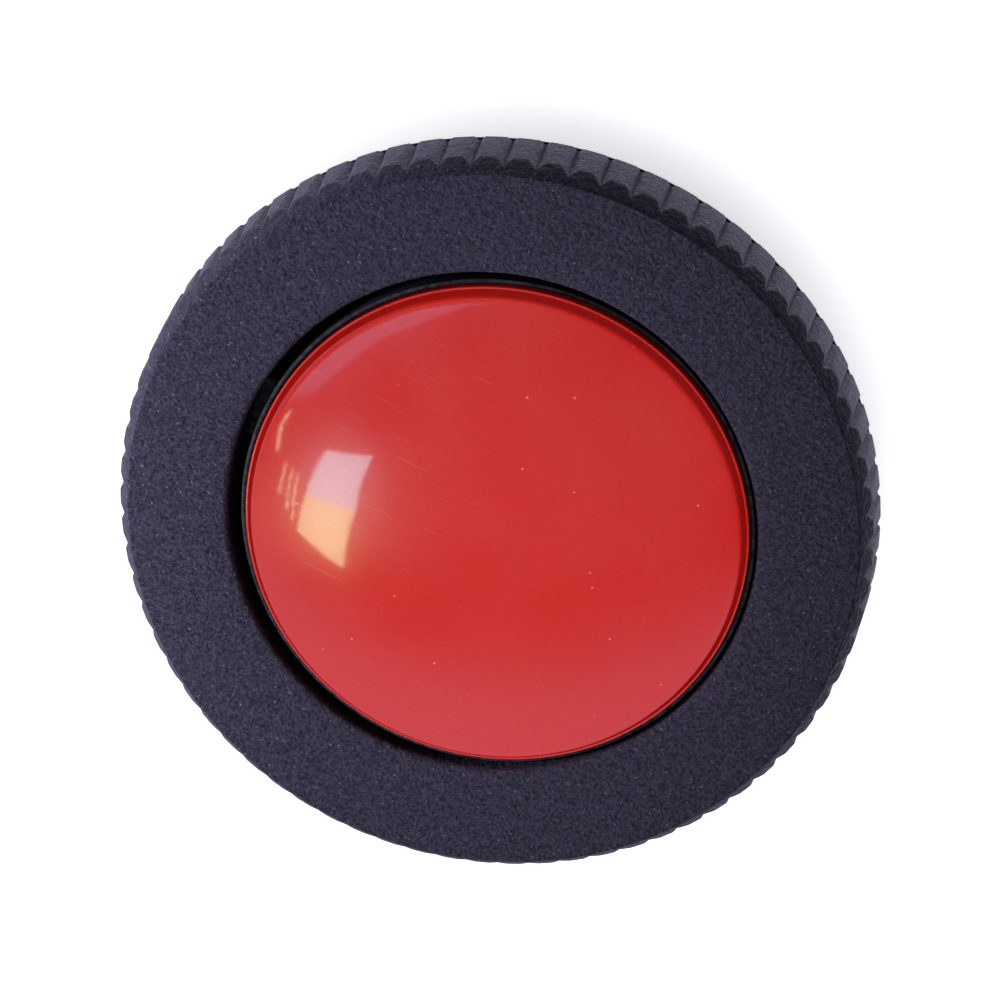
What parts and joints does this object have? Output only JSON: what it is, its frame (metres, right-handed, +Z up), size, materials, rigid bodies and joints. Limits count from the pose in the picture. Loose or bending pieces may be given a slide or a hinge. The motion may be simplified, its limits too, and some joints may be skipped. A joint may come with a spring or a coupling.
{
  "type": "quiz buzzer",
  "caption": "Pocket quiz buzzer: a black fluted ring with a sprung red domed button, on a round base with a speaker grille and a twist-off battery cap.",
  "frame": {"origin": "centre of the plane that the four rubber feet rest on", "axes": "+Z up along the ring's axis, out through the dome; -Y is the near side of the stored view; the battery cap is on -X and the speaker on +X"},
  "size_m": [0.06, 0.06, 0.0206],
  "materials": {
    "bezel_black": "fine moulded grain, satin",
    "tray_black": "fine moulded grain",
    "cap_black": "smooth satin",
    "dome_red": "polished, lightly scratched",
    "carrier_black": "smooth",
    "spring_steel": "plain wire",
    "screw_steel": "zinc plated",
    "foot_rubber": "matte",
    "board_green": "solder mask",
    "chip_epoxy": "epoxy blob",
    "capacitor_can": "plain can",
    "resistor_ceramic": "ceramic",
    "switch_shell": "stamped shell",
    "stem_black": "smooth",
    "cell_steel": "pressed steel can",
    "holder_black": "smooth",
    "contact_nickel": "nickel plated",
    "basket_steel": "pressed steel",
    "magnet_dark": "plated magnet and yoke",
    "cone_paper": "doped paper",
    "gasket_foam": "closed-cell foam",
    "wire_red": "insulated wire",
    "wire_black": "insulated wire"
  },
  "bodies": {
    "case": {"bezel_ring": "bezel_black", "base_tray": "tray_black", "case_screw_1": "screw_steel", "case_screw_2": "screw_steel", "case_screw_3": "screw_steel", "case_screw_4": "screw_steel", "rubber_foot_1": "foot_rubber", "rubber_foot_2": "foot_rubber", "rubber_foot_3": "foot_rubber", "rubber_foot_4": "foot_rubber", "circuit_board": "board_green", "board_screw_1": "screw_steel", "board_screw_2": "screw_steel", "sound_chip": "chip_epoxy", "capacitor": "capacitor_can", "resistor_1": "resistor_ceramic", "resistor_2": "resistor_ceramic", "switch_body": "switch_shell", "return_spring": "spring_steel", "coin_cell": "cell_steel", "cell_holder": "holder_black", "cell_contact_positive": "contact_nickel", "cell_contact_negative": "contact_nickel", "speaker_basket": "basket_steel", "speaker_magnet": "magnet_dark", "speaker_cone": "cone_paper", "speaker_gasket": "gasket_foam", "speaker_wire_red": "wire_red", "speaker_wire_black": "wire_black"},
    "button": {"button_dome": "dome_red", "button_carrier": "carrier_black"},
    "switch_stem": {"switch_stem": "stem_black"},
    "battery_cap": {"battery_cap": "cap_black"}
  },
  "joints": [
    {"name": "button_press", "type": "slide", "parent": "case", "child": "button", "axis": [0, 0, -1], "range_m": [0, 0.0015], "stiffness_N_per_m": 900, "springref_m": -0.0015, "deforming": ["return_spring"]},
    {"name": "switch_stem_press", "type": "slide", "parent": "case", "child": "switch_stem", "axis": [0, 0, -1], "range_m": [0, 0.00025]},
    {"name": "battery_cap_turn", "type": "hinge", "parent": "case", "child": "battery_cap", "pos_m": [-0.0114, 0, 0.0017], "axis": [0, 0, -1], "range_deg": [0, 40]}
  ],
  "couplings": [
    {"joint": "switch_stem_press", "follows": "button_press", "ratio": 0.1666}
  ]
}
